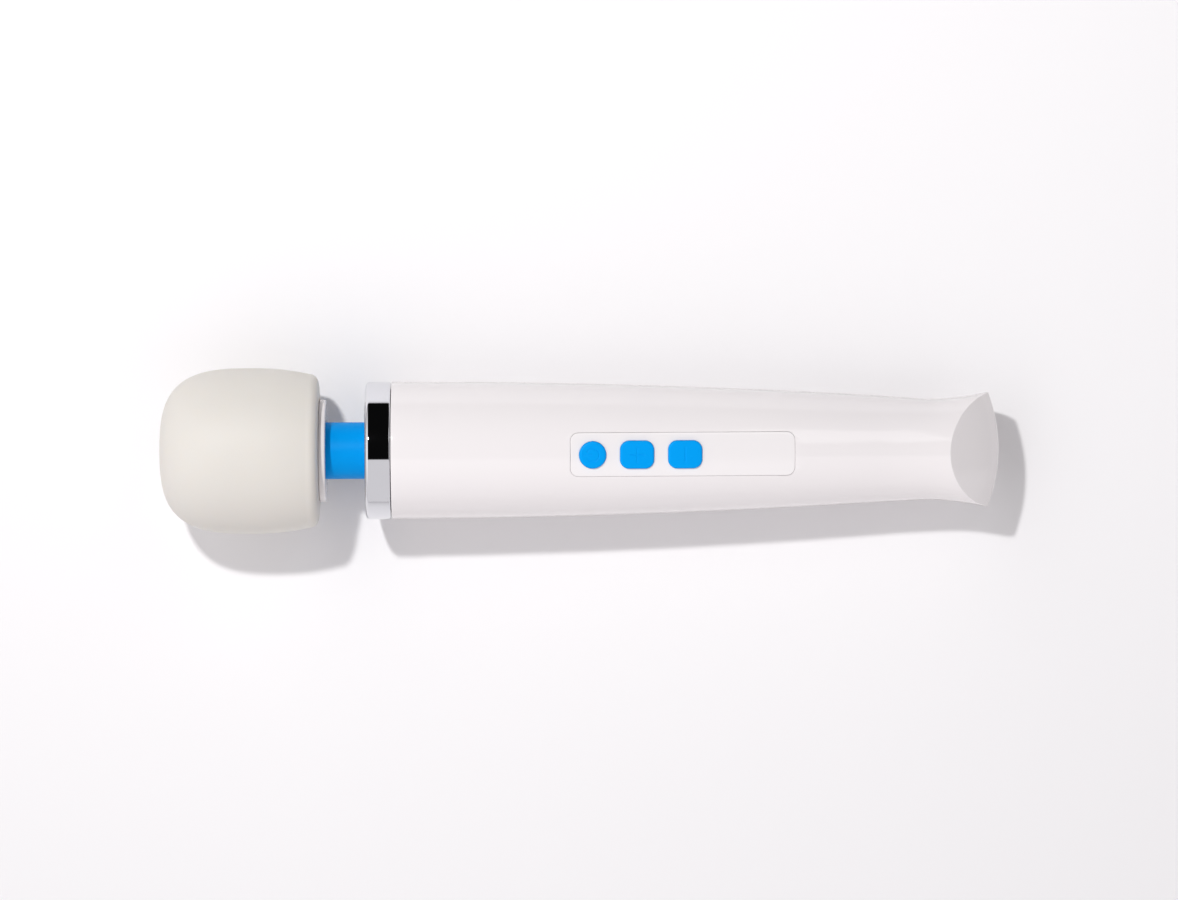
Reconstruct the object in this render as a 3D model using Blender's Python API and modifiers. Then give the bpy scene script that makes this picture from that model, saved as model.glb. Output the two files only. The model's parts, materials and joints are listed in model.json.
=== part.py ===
"""A cordless wand massager: a soft round head on a flexible neck, a chrome collar and a slim handle with
a slanted, lens-shaped tail. The motor in the handle turns an eccentric weight in the head through a
spring in the neck. Stations along the wand are measured from the tip of the head."""

import math

import bmesh
import bpy
from mathutils import Matrix

MM = 0.001

# Attitude: the wand lies on its head and on the lower edge of its tail.
WAND_LENGTH = 248.5 * MM
REST_TILT = math.radians(1.5)
AXIS_HEIGHT = 21.99 * MM

# Head
HEAD_RADIUS = 24.5 * MM
HEAD_NOSE = 28.0 * MM
HEAD_POWER = 3.15
HEAD_REAR = 46.7 * MM
HEAD_REAR_DROP = 1.2 * MM
HEAD_REAR_REACH = 13.2 * MM
HEAD_CORNER = 3.6 * MM
CAP_WALL = 2.2 * MM
CUP_WALL = 2.0 * MM
CAP_MOUTH = 15.0 * MM
BASE_RADIUS = 15.1 * MM
BASE_REAR = 49.0 * MM

# Neck
NECK_RADIUS = 8.4 * MM
NECK_WALL = 2.0 * MM
NECK_HOLE = 8.7 * MM
FLANGE_RADIUS = 11.0 * MM
PITCH_STATION = 57.6 * MM
YAW_STATION = 51.9 * MM

# Collar and handle
COLLAR_FRONT = 61.4 * MM
COLLAR_REAR = 68.1 * MM
HANDLE_FRONT = 68.4 * MM
HANDLE_RADIUS = 20.4 * MM
TAPER_START = 67.4 * MM
TAPER_LENGTH = 160.6 * MM
TAPER_DROP = 5.5 * MM
FLARE_START = 226.0 * MM
FLARE_LENGTH = 19.1 * MM
FLARE_WIDTH = 3.48 * MM
FLARE_DEPTH = 4.5 * MM
FLARE_REACH = 17.6 * MM
RISE_START = 205.0 * MM
RISE_LENGTH = 40.0 * MM
SEAM_RISE = 4.0 * MM
TAIL_TIP = 244.9 * MM
TAIL_HALF_WIDTH = 17.1 * MM
RIDGE_BULGE = 3.2 * MM
UPPER_LEAN = 0.89
UPPER_CURVE = 1.15
LOWER_LEAN = 0.22
TAIL_ZONE = 200.0 * MM
WALL = 3.0 * MM
TAIL_WALL = 2.4 * MM
SEAM = 0.15 * MM
GAP = 0.3 * MM

# Panel and buttons
PANEL_START = 120.8 * MM
PANEL_END = 186.7 * MM
PANEL_WIDTH = 12.8 * MM
PANEL_CORNER = 2.4 * MM
PANEL_THICKNESS = 1.3 * MM
PANEL_SINK = 0.4 * MM
PANEL_CROWN = 32.0 * MM
BUTTON_PROUD = 0.7 * MM
POWER_STATION = 127.3 * MM
POWER_RADIUS = 4.0 * MM
KEY_STATIONS = {"plus": 140.3 * MM, "minus": 154.4 * MM}
KEY_LENGTH = 10.0 * MM
KEY_WIDTH = 8.2 * MM
KEY_CORNER = 2.7 * MM
FLANGE_EXTRA = 0.5 * MM
BOARD_DEPTH = 10.2 * MM
BOARD_THICKNESS = 1.6 * MM

# Drive
SHAFT_RADIUS = 1.6 * MM
HEAD_SHAFT_RADIUS = 2.5 * MM
RACE_OUTER = 8.0 * MM
RACE_WIDTH = 5.0 * MM
RACE_MIDDLE = 5.1 * MM
RACE_GAP = 0.95 * MM
FRONT_BEARING = 5.2 * MM
REAR_BEARING = 36.8 * MM
MOTOR_RADIUS = 13.85 * MM
MOTOR_FRONT = 72.8 * MM
MOTOR_REAR = 108.0 * MM

# Battery and charging
CELL_RADIUS = 9.15 * MM
CELL_START = 126.0 * MM
CELL_LENGTH = 49.5 * MM
CELL_DROP = 4.3 * MM
CONTACT_STATION = 214.0 * MM
SHELL_SCREWS = [(117.5 * MM, 9.0 * MM), (199.0 * MM, 6.0 * MM)]
BOARD_SCREWS = [(165.5 * MM, 6.2 * MM), (187.0 * MM, -6.2 * MM)]

stations = {}


def clear_scene():
    for obj in list(bpy.data.objects):
        bpy.data.objects.remove(obj, do_unlink=True)


def make_collection(name):
    collection = bpy.data.collections.new(name)
    bpy.context.scene.collection.children.link(collection)
    return collection


def make_material(name, colour, roughness, metallic=0.0):
    material = bpy.data.materials.new(name)
    material.use_nodes = True
    shader = material.node_tree.nodes["Principled BSDF"]
    shader.inputs["Base Color"].default_value = (*colour, 1.0)
    shader.inputs["Roughness"].default_value = roughness
    shader.inputs["Metallic"].default_value = metallic
    return material


def make_materials():
    return {
        "silicone": make_material("cream_silicone", (0.80, 0.78, 0.73), 0.55),
        "white": make_material("white_plastic", (0.86, 0.84, 0.84), 0.18),
        "blue": make_material("blue_silicone", (0.01, 0.32, 0.88), 0.4),
        "chrome": make_material("chrome", (0.8, 0.81, 0.82), 0.05, 1.0),
        "inner": make_material("inner_plastic", (0.35, 0.36, 0.38), 0.5),
        "steel": make_material("steel", (0.6, 0.6, 0.62), 0.3, 1.0),
        "brass": make_material("brass", (0.72, 0.5, 0.22), 0.3, 1.0),
        "magnet": make_material("ferrite", (0.08, 0.08, 0.09), 0.6),
        "rubber": make_material("black_rubber", (0.03, 0.03, 0.03), 0.7),
        "board": make_material("green_board", (0.02, 0.18, 0.08), 0.4),
        "cell": make_material("cell_wrap", (0.05, 0.35, 0.2), 0.35),
        "red": make_material("red_wire", (0.6, 0.02, 0.02), 0.45),
        "black": make_material("black_wire", (0.02, 0.02, 0.02), 0.45),
    }


def make_empty(name, parent, station, lift=0.0, lean=0.0):
    """An empty on the wand's axis at a station, or lifted off it, that other objects hang from."""
    empty = bpy.data.objects.new(name, None)
    bpy.context.scene.collection.objects.link(empty)
    if parent:
        empty.parent = parent
        empty.location = (station - stations[parent.name], 0.0, lift)
    empty.rotation_euler = (0.0, lean, 0.0)
    stations[name] = station
    return empty


def place(obj, parent, material, where=(None, 0.0, 0.0)):
    """Hangs an object from an empty. Its own station is where[0], or the empty's when that is None."""
    obj.parent = parent
    station = stations[parent.name] if where[0] is None else where[0]
    obj.location = (station - stations[parent.name], where[1], where[2])
    if material:
        obj.data.materials.append(material)
    return obj


def make_object(name, mesh, collection):
    obj = bpy.data.objects.new(name, mesh)
    collection.objects.link(obj)
    return obj


def smooth(obj):
    obj.data.shade_smooth()
    obj.data.set_sharp_from_angle(angle=math.radians(35))


def turned(name, profile, steps, collection, parent, material, closed=True):
    """A turned piece round the wand's axis. The profile lists (radius, station), outer side rear to front."""
    mesh = bpy.data.meshes.new(name)
    base = stations[parent.name]
    points = [(radius, 0.0, station - base) for radius, station in profile]
    edges = [(i, i + 1) for i in range(len(points) - 1)]
    if closed:
        edges.append((len(points) - 1, 0))
    mesh.from_pydata(points, edges, [])
    obj = make_object(name, mesh, collection)
    screw = obj.modifiers.new("Turn", "SCREW")
    screw.axis = "Z"
    screw.steps = steps
    screw.render_steps = steps
    screw.use_merge_vertices = True
    screw.merge_threshold = 0.00001
    place(obj, parent, material)
    obj.rotation_euler = (0.0, math.radians(90), 0.0)
    return obj


def ring(name, inner, outer, start, end, steps, collection, parent, material):
    """A plain annulus from one station to another."""
    profile = [(outer, end), (outer, start), (inner, start), (inner, end)]
    return turned(name, profile, steps, collection, parent, material)


def plate(name, outlines, low, high, collection, parent, material, where, along="Z"):
    """Flat outlines given thickness; one inside another is a hole. They are (x, y), or (y, z) along X."""
    curve = bpy.data.curves.new(name, "CURVE")
    curve.dimensions = "2D"
    curve.fill_mode = "BOTH"
    curve.extrude = (high - low) / 2
    for outline in outlines:
        spline = curve.splines.new("POLY")
        spline.use_cyclic_u = True
        spline.points.add(len(outline) - 1)
        for point, (first, second) in zip(spline.points, outline):
            flat = (first, second) if along == "Z" else (-second, first)
            point.co = (*flat, 0.0, 1.0)
    source = bpy.data.objects.new(name, curve)
    bpy.context.scene.collection.objects.link(source)
    bpy.context.view_layer.update()
    mesh = bpy.data.meshes.new_from_object(source.evaluated_get(bpy.context.evaluated_depsgraph_get()))
    bpy.data.objects.remove(source, do_unlink=True)
    shift = (low + high) / 2
    edit = bmesh.new()
    edit.from_mesh(mesh)
    bmesh.ops.remove_doubles(edit, verts=edit.verts, dist=0.000001)
    bmesh.ops.translate(edit, verts=edit.verts, vec=(0.0, 0.0, shift))
    edit.to_mesh(mesh)
    edit.free()
    obj = make_object(name, mesh, collection)
    place(obj, parent, material, where)
    if along == "X":
        obj.rotation_euler = (0.0, math.radians(90), 0.0)
    return obj


def rounded(length, width, corner, steps=5):
    """The outline of a rounded rectangle about the origin."""
    points = []
    for quarter in range(4):
        turn = math.radians(90 * quarter)
        x = (length / 2 - corner) * (1 if quarter in (0, 3) else -1)
        y = (width / 2 - corner) * (1 if quarter in (0, 1) else -1)
        for i in range(steps + 1):
            angle = turn + math.radians(90) * i / steps
            points.append((x + corner * math.cos(angle), y + corner * math.sin(angle)))
    return points


def arc(radius, start, end, steps, centre=(0.0, 0.0)):
    """Points on an arc between two angles in degrees."""
    points = []
    for i in range(steps + 1):
        angle = math.radians(start + (end - start) * i / steps)
        points.append((centre[0] + radius * math.cos(angle), centre[1] + radius * math.sin(angle)))
    return points


def circle(radius, steps=16):
    return arc(radius, 0, 360 - 360 / steps, steps - 1)


def solids_from(name, makers, collection, parent, material):
    """Joins separate bodies, each made by a function on one mesh, into one node."""
    edit = bmesh.new()
    for make in makers:
        make(edit)
    mesh = bpy.data.meshes.new(name)
    edit.to_mesh(mesh)
    edit.free()
    obj = make_object(name, mesh, collection)
    return place(obj, parent, material)


def box_maker(centre, size):
    def make(edit):
        made = bmesh.ops.create_cube(edit, size=1.0)["verts"]
        bmesh.ops.scale(edit, verts=made, vec=size)
        bmesh.ops.translate(edit, verts=made, vec=centre)

    return make


def rod_maker(centre, radius, length, turn=None, segments=12):
    """A cylinder along Z about a centre, or turned first by a rotation matrix."""

    def make(edit):
        made = bmesh.ops.create_cone(
            edit, cap_ends=True, segments=segments, radius1=radius, radius2=radius, depth=length
        )["verts"]
        if turn:
            bmesh.ops.rotate(edit, verts=made, cent=(0, 0, 0), matrix=turn)
        bmesh.ops.translate(edit, verts=made, vec=centre)

    return make


def cut(obj, cutter, operation="DIFFERENCE"):
    boolean = obj.modifiers.new(cutter.name, "BOOLEAN")
    boolean.operation = operation
    boolean.object = cutter
    cutter.hide_render = True
    cutter.display_type = "WIRE"


def pin_maker(centre, profile, turn=None, segments=12):
    """A turned pin about Z. Its profile lists (radius, height) from one end on the axis to the other."""

    def make(edit):
        before = set(edit.verts)
        verts = [edit.verts.new((radius, 0.0, height)) for radius, height in profile]
        edges = [edit.edges.new(pair) for pair in zip(verts, verts[1:])]
        bmesh.ops.spin(
            edit, geom=verts + edges, cent=(0, 0, 0), axis=(0, 0, 1), angle=2 * math.pi, steps=segments
        )
        made = [v for v in edit.verts if v not in before]
        bmesh.ops.remove_doubles(edit, verts=made, dist=0.000001)
        made = [v for v in edit.verts if v not in before]
        faces = list({f for v in made for f in v.link_faces})
        bmesh.ops.recalc_face_normals(edit, faces=faces)
        if turn:
            bmesh.ops.rotate(edit, verts=made, cent=(0, 0, 0), matrix=turn)
        bmesh.ops.translate(edit, verts=made, vec=centre)

    return make


def tool(name, makers, collection, parent, where=(None, 0.0, 0.0)):
    """A cutter or a joined-on post, which is hidden and is no part of its own."""
    obj = solids_from(name, makers, collection, parent, None)
    return place(obj, parent, None, where)


def mesh_piece(name, points, faces, collection, parent, material):
    """A lofted piece, with its faces turned outward."""
    mesh = bpy.data.meshes.new(name)
    mesh.from_pydata(points, [], faces)
    edit = bmesh.new()
    edit.from_mesh(mesh)
    bmesh.ops.remove_doubles(edit, verts=edit.verts, dist=0.001 * MM)
    bmesh.ops.recalc_face_normals(edit, faces=edit.faces)
    edit.to_mesh(mesh)
    edit.free()
    obj = make_object(name, mesh, collection)
    return place(obj, parent, material)


# ---- Forms of the wand ----


def head_radius(station):
    """A superellipse up to the widest station, then a shallow parabola back to the rear corner."""
    if station <= HEAD_NOSE:
        reach = 1 - station / HEAD_NOSE
        return HEAD_RADIUS * max(0.0, 1 - reach**HEAD_POWER) ** (1 / HEAD_POWER)
    return HEAD_RADIUS - HEAD_REAR_DROP * ((station - HEAD_NOSE) / HEAD_REAR_REACH) ** 2


def head_profile(inset, rear, corner, steps):
    """Points from the rear corner's flat to the nose on the axis, set in by a wall."""
    points = []
    shoulder = rear - corner
    radius = head_radius(shoulder) - inset - corner
    for i in range(4):
        angle = math.radians(90 * i / 3)
        points.append((radius + corner * math.sin(angle), shoulder + corner * math.cos(angle)))
    for i in range(1, steps):
        turn = math.radians(90 * i / steps)
        station = shoulder - (shoulder - inset) * math.sin(turn)
        outer = HEAD_NOSE - (HEAD_NOSE - station) * HEAD_NOSE / (HEAD_NOSE - inset)
        share = (HEAD_RADIUS - inset) / HEAD_RADIUS
        radius = head_radius(outer) * share if station < HEAD_NOSE else head_radius(station) - inset
        points.append((radius, station))
    points.append((0.0, inset))
    return points


def half_width(station):
    """Half the handle's width: a parabolic taper, and a flare just before the tail."""
    taper = TAPER_DROP * (max(0.0, station - TAPER_START) / TAPER_LENGTH) ** 2
    flare = FLARE_WIDTH * (max(0.0, station - FLARE_START) / FLARE_LENGTH) ** 1.6
    return HANDLE_RADIUS - taper + flare


def top_height(station):
    """The taper without the side flare, with a slight rise to the tail's upper edge."""
    taper = TAPER_DROP * (max(0.0, station - TAPER_START) / TAPER_LENGTH) ** 2
    rise = 1.2 * MM * (max(0.0, station - 212 * MM) / FLARE_LENGTH) ** 2
    return HANDLE_RADIUS - taper + rise


def bottom_depth(station):
    """The taper, held level past the flare's start and then dropping to the tail's lip."""
    level = min(station, FLARE_START)
    drop = FLARE_DEPTH * (max(0.0, station - FLARE_START) / FLARE_REACH) ** 2.2
    return half_width(level) + drop


def seam_height(station):
    """Where the two shells meet: level with the axis, and rising smoothly to the tail's ridge."""
    share = min(1.0, max(0.0, (station - RISE_START) / RISE_LENGTH))
    return SEAM_RISE * share * share * (3 - 2 * share)


def floor_line(station):
    """Height of the surface under the wand, in the wand's own frame."""
    along = station - WAND_LENGTH / 2
    return -(AXIS_HEIGHT - along * math.sin(REST_TILT)) / math.cos(REST_TILT)


def section_point(station, turn, inset=0.0):
    """The handle's outline at an angle round the axis: half an ellipse above the seam and half below it."""
    seam = seam_height(station)
    y = (half_width(station) - inset) * math.cos(turn)
    if math.sin(turn) >= 0:
        return y, seam + (top_height(station) - seam - inset) * math.sin(turn)
    z = seam + (bottom_depth(station) + seam - inset) * math.sin(turn)
    return y, max(z, floor_line(station))


def tail_station(y, z):
    """The tail's end: a ridge bowed from side to side, leaning back far above it and a little below it."""
    ridge = TAIL_TIP + RIDGE_BULGE * (1 - (y / TAIL_HALF_WIDTH) ** 2)
    above, below = max(0.0, z - SEAM_RISE), max(0.0, SEAM_RISE - z)
    return ridge - UPPER_LEAN * MM * (above / MM) ** UPPER_CURVE - LOWER_LEAN * below


def tail_end(turn, inset=0.0, wall=0.0):
    """Where a line along the handle meets the tail's end, or the inside of its wall."""
    station = TAIL_TIP
    for _ in range(60):
        station = (station + tail_station(*section_point(station, turn, inset)) - wall) / 2
    return station


# ---- Head ----


def build_head(parts, cutters, mats, head, spin):
    outer = head_profile(0.0, HEAD_REAR, HEAD_CORNER, 9)
    inner = head_profile(CAP_WALL, HEAD_REAR - CAP_WALL, HEAD_CORNER - 1 * MM, 6)
    lip = [(CAP_MOUTH, HEAD_REAR - CAP_WALL), (CAP_MOUTH, HEAD_REAR)]
    turned("head_cap", inner[::-1] + lip + outer, 36, parts, head, mats["silicone"], closed=False)

    cup_rear = HEAD_REAR - CAP_WALL - GAP
    skin = CAP_WALL + 2 * GAP
    outer = head_profile(skin, cup_rear, HEAD_CORNER - 1 * MM, 5)
    inner = head_profile(skin + CUP_WALL, cup_rear - 1.5 * MM, 1 * MM, 5)
    floor = skin + CUP_WALL
    seat_inner = RACE_OUTER + GAP
    seat_outer = seat_inner + 2 * MM
    wall = [point for point in inner if point[0] > seat_outer + 1 * MM][::-1]
    seat = [(0.0, floor), (seat_inner, floor), (seat_inner, 11 * MM), (seat_outer, 11 * MM)]
    seat.append((seat_outer, wall[0][1]))
    mouth = [(wall[-1][0], cup_rear)]
    turned("head_cup", seat + wall + mouth + outer, 24, parts, head, mats["inner"], closed=False)

    spigot = CAP_MOUTH - GAP
    profile = [
        (NECK_HOLE, BASE_REAR),
        (BASE_RADIUS, BASE_REAR),
        (BASE_RADIUS, HEAD_REAR + GAP),
        (spigot, HEAD_REAR + GAP),
        (spigot, 43.4 * MM),
        (FLANGE_RADIUS + GAP, 43.4 * MM),
        (FLANGE_RADIUS + GAP, 45.8 * MM),
        (NECK_HOLE, 45.8 * MM),
    ]
    turned("head_base_plate", profile, 32, parts, head, mats["white"])
    ring("bearing_bridge", seat_inner, 17.8 * MM, 36.0 * MM, 42.0 * MM, 32, parts, head, mats["inner"])
    for name, start in (("front", FRONT_BEARING), ("rear", REAR_BEARING)):
        end = start + RACE_WIDTH
        ring(f"{name}_bearing_outer", RACE_MIDDLE + RACE_GAP, RACE_OUTER, start, end, 24, parts, head, mats["steel"])
        ring(f"{name}_bearing_inner", HEAD_SHAFT_RADIUS + GAP, RACE_MIDDLE - RACE_GAP, start, end, 20, parts, spin,
             mats["steel"])

    shaft = [(0, 47.5 * MM), (HEAD_SHAFT_RADIUS, 47.5 * MM), (HEAD_SHAFT_RADIUS, 5.0 * MM), (0, 5.0 * MM)]
    turned("head_shaft", shaft, 16, parts, spin, mats["steel"], closed=False)
    weight = arc(14 * MM, 200, 340, 12) + arc(5.5 * MM, 340, 560, 12)
    bore = circle(HEAD_SHAFT_RADIUS + GAP, 16)
    plate("eccentric_weight", [weight, bore], 0, 17 * MM, parts, spin, mats["brass"],
          (15 * MM, 0, 0), along="X")
    ring("head_hub", HEAD_SHAFT_RADIUS + GAP, 5.0 * MM, 43.2 * MM, 48.8 * MM, 20, parts, spin, mats["steel"])


# ---- Neck ----


def build_neck(parts, mats, wand, neck, rotor):
    inner = NECK_RADIUS - NECK_WALL
    profile = [
        (inner, 65.5 * MM),
        (FLANGE_RADIUS, 65.5 * MM),
        (FLANGE_RADIUS, 63.9 * MM),
        (NECK_RADIUS, 63.9 * MM),
        (NECK_RADIUS, 45.3 * MM),
        (FLANGE_RADIUS, 45.3 * MM),
        (FLANGE_RADIUS, 43.7 * MM),
        (inner, 43.7 * MM),
    ]
    turned("neck_sleeve", profile, 24, parts, wand, mats["blue"])
    ring("neck_guide_ring", 5.2 * MM, 6.2 * MM, 53.5 * MM, 56.0 * MM, 24, parts, neck, mats["inner"])
    build_spring(parts, mats, rotor)


def build_spring(parts, mats, rotor):
    """The drive spring: a helix between the two hubs."""
    start, end, turns, per_turn = 49.7 * MM, 60.6 * MM, 4, 9
    curve = bpy.data.curves.new("drive_spring", "CURVE")
    curve.dimensions = "3D"
    curve.bevel_depth = 0.55 * MM
    curve.bevel_resolution = 2
    curve.use_fill_caps = True
    spline = curve.splines.new("POLY")
    count = turns * per_turn + 1
    spline.points.add(count - 1)
    for i, point in enumerate(spline.points):
        turn = 2 * math.pi * i / per_turn
        along = start + (end - start) * i / (count - 1) - stations[rotor.name]
        point.co = (along, 4.1 * MM * math.cos(turn), 4.1 * MM * math.sin(turn), 1.0)
    spring = make_object("drive_spring", curve, parts)
    place(spring, rotor, mats["steel"])


# ---- Nose and motor ----


def build_nose(parts, mats, wand):
    inner = HANDLE_RADIUS - 2.1 * MM
    chamfer = 1.1 * MM
    profile = [
        (inner, COLLAR_REAR),
        (HANDLE_RADIUS, COLLAR_REAR),
        (HANDLE_RADIUS, COLLAR_FRONT + chamfer),
        (HANDLE_RADIUS - 0.3 * MM, COLLAR_FRONT + 0.35 * MM),
        (HANDLE_RADIUS - chamfer, COLLAR_FRONT),
        (inner, COLLAR_FRONT),
    ]
    turned("collar_ring", profile, 48, parts, wand, mats["chrome"])
    ring("nose_plate", NECK_HOLE, inner - GAP, 62.0 * MM, 63.6 * MM, 32, parts, wand, mats["white"])
    ring("sleeve_clamp_ring", 7.2 * MM, 17.2 * MM, 65.8 * MM, 67.8 * MM, 32, parts, wand, mats["inner"])


def build_motor(parts, cutters, mats, wand, rotor):
    quarter = Matrix.Rotation(math.radians(90), 3, "Y")
    spots = [(8.0 * MM, 0.0), (-8.0 * MM, 0.0)]
    holes = tool("motor_screw_holes", [rod_maker((0, y, z), 1.3 * MM, 8 * MM, quarter) for y, z in spots],
                 cutters, wand, (72.5 * MM, 0, 0))
    mount = ring("motor_mount", 4.5 * MM, 16.9 * MM, 70.5 * MM, 72.5 * MM, 24, parts, wand, mats["inner"])
    cut(mount, holes)
    can_inner = MOTOR_RADIUS - 1.2 * MM
    profile = [
        (can_inner, MOTOR_REAR),
        (MOTOR_RADIUS, MOTOR_REAR),
        (MOTOR_RADIUS, MOTOR_FRONT),
        (3.3 * MM, MOTOR_FRONT),
        (3.3 * MM, MOTOR_FRONT + 1.4 * MM),
        (can_inner, MOTOR_FRONT + 1.4 * MM),
    ]
    can = turned("motor_can", profile, 24, parts, wand, mats["steel"])
    cut(can, holes)
    ring("motor_bush", SHAFT_RADIUS + GAP, 3.0 * MM, 71.0 * MM, 76.5 * MM, 20, parts, wand, mats["brass"])
    screw = [(0, -1.6 * MM), (2.1 * MM, -1.6 * MM), (2.1 * MM, 0), (1.0 * MM, 0), (1.0 * MM, 4.5 * MM),
             (0, 4.5 * MM)]
    for side, (y, z) in zip(("left", "right"), spots):
        maker = pin_maker((70.1 * MM - stations[wand.name], y, z), screw, quarter)
        solids_from(f"motor_screw_{side}", [maker], parts, wand, mats["steel"])
    outer, inner = can_inner - GAP, can_inner - 1.8 * MM
    for name, start in (("upper", 25), ("lower", 205)):
        outline = arc(outer, start, start + 130, 9) + arc(inner, start + 130, start, 9)
        plate(f"motor_magnet_{name}", [outline], 0, 26 * MM, parts, wand, mats["magnet"], (78 * MM, 0, 0), "X")
    ring("motor_end_bell", SHAFT_RADIUS + GAP, MOTOR_RADIUS, 108.3 * MM, 111.0 * MM, 32, parts, wand,
         mats["rubber"])
    ring("motor_damper", MOTOR_RADIUS + GAP, 16.4 * MM, 92 * MM, 100 * MM, 32, parts, wand, mats["rubber"])

    shaft = [(0, 112.5 * MM), (SHAFT_RADIUS, 112.5 * MM), (SHAFT_RADIUS, 61.8 * MM), (0, 61.8 * MM)]
    turned("motor_shaft", shaft, 16, parts, rotor, mats["steel"], closed=False)
    poles = []
    for i in range(5):
        poles += arc(10.2 * MM, 72 * i - 28, 72 * i + 28, 5)
        poles.append((5.2 * MM * math.cos(math.radians(72 * i + 36)),
                      5.2 * MM * math.sin(math.radians(72 * i + 36))))
    bore = circle(SHAFT_RADIUS + GAP, 16)
    plate("armature", [poles, bore], 0, 24 * MM, parts, rotor, mats["steel"], (79 * MM, 0, 0), along="X")
    ring("commutator", SHAFT_RADIUS + GAP, 3.6 * MM, 103.4 * MM, 107.6 * MM, 20, parts, rotor, mats["brass"])
    ring("motor_hub", SHAFT_RADIUS + GAP, 5.0 * MM, 61.5 * MM, 68.2 * MM, 20, parts, rotor, mats["steel"])


# ---- Power ----


def build_power(parts, mats, wand):
    centre = (0.0, -CELL_DROP)
    cell = [circle(CELL_RADIUS, 28)]
    plate("battery_cell", cell, 0, CELL_LENGTH, parts, wand, mats["cell"], (CELL_START, 0, centre[1]), "X")
    outline = arc(10.25 * MM, 170, 370, 20) + arc(CELL_RADIUS + GAP, 370, 170, 20)
    plate("battery_cradle", [outline], 0, 46 * MM, parts, wand, mats["inner"],
          (CELL_START + 2 * MM, 0, centre[1]), "X")
    plate("charge_board", [rounded(20 * MM, 12 * MM, 1 * MM, 3)], -9 * MM, -8 * MM, parts, wand,
          mats["board"], (CONTACT_STATION, 0, 0))
    at = CONTACT_STATION - stations[wand.name]
    for side, y in (("left", 3 * MM), ("right", -3 * MM)):
        pin = rod_maker((at, y, -12.2 * MM), 1.6 * MM, 5.8 * MM)
        solids_from(f"charge_contact_{side}", [pin], parts, wand, mats["brass"])


def smooth_route(route, steps=2):
    """Points on a smooth curve through the route's own points."""
    padded = [route[0], *route, route[-1]]
    points = []
    for before, here, after, later in zip(padded, padded[1:], padded[2:], padded[3:]):
        for i in range(steps):
            t = i / steps
            points.append(tuple(
                0.5 * (2 * b + (c - a) * t + (2 * a - 5 * b + 4 * c - d) * t * t
                       + (3 * b - a - 3 * c + d) * t * t * t)
                for a, b, c, d in zip(before, here, after, later)
            ))
    return [*points, route[-1]]


def wire(name, route, parts, wand, material):
    """An insulated wire. Its route lists (station, y, z) in millimetres."""
    curve = bpy.data.curves.new(name, "CURVE")
    curve.dimensions = "3D"
    curve.bevel_depth = 0.6 * MM
    curve.bevel_resolution = 2
    curve.use_fill_caps = True
    points = smooth_route(route)
    spline = curve.splines.new("POLY")
    spline.points.add(len(points) - 1)
    for point, (x, y, z) in zip(spline.points, points):
        point.co = (x * MM - stations[wand.name], y * MM, z * MM, 1.0)
    place(make_object(name, curve, parts), wand, material)


def build_wires(parts, mats, wand):
    for name, side, colour in (("motor_lead_red", 1, "red"), ("motor_lead_black", -1, "black")):
        route = [(111.6, 3.5 * side, 0), (115.5, 3.8 * side, 1.5), (119, 4.3 * side, 4),
                 (121.3, 4.8 * side, 6), (123.5, 5 * side, 7.0)]
        wire(name, route, parts, wand, mats[colour])
    front = [(125.3, 0, -4.3), (122.8, 0, -3), (121.9, 0, 1), (122.8, 0, 5), (124.2, 0, 6.9)]
    wire("battery_lead_red", front, parts, wand, mats["red"])
    rear = [(176.2, 0, -4.3), (178.7, 0, -3), (179.3, 0, 0), (178.9, 0, 3), (178, 0, 4.9)]
    wire("battery_lead_black", rear, parts, wand, mats["black"])

# ---- Panel, buttons and control board ----


def build_panel(parts, cutters, mats, deck):
    middle = (PANEL_START + PANEL_END) / 2
    length = PANEL_END - PANEL_START
    outline = rounded(length, PANEL_WIDTH, PANEL_CORNER)
    panel = plate("control_panel", [outline], -PANEL_THICKNESS, 0, parts, deck, mats["white"], (middle, 0, 0))
    quarter = Matrix.Rotation(math.radians(90), 3, "Y")
    crown = tool("panel_crown", [rod_maker((0, 0, -PANEL_CROWN), PANEL_CROWN, 80 * MM, quarter, 64)],
                 cutters, deck)
    cut(panel, crown, "INTERSECT")
    shapes = button_shapes()
    for name, (station, outline, hole, _) in shapes.items():
        hole_tool = plate(f"{name}_hole", [hole], -3 * MM, 3 * MM, cutters, deck, None, (station, 0, 0))
        cut(panel, hole_tool)


def button_shapes():
    """For each button: its station, outline, the hole round it and its flange."""
    shapes = {
        "power": (POWER_STATION, circle(POWER_RADIUS, 24), circle(POWER_RADIUS + GAP, 24),
                  circle(POWER_RADIUS + FLANGE_EXTRA, 24)),
    }
    for name, station in KEY_STATIONS.items():
        outlines = [rounded(KEY_LENGTH + 2 * grow, KEY_WIDTH + 2 * grow, KEY_CORNER + grow, 4)
                    for grow in (0.0, GAP, FLANGE_EXTRA)]
        shapes[name] = (station, *outlines)
    return shapes


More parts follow.
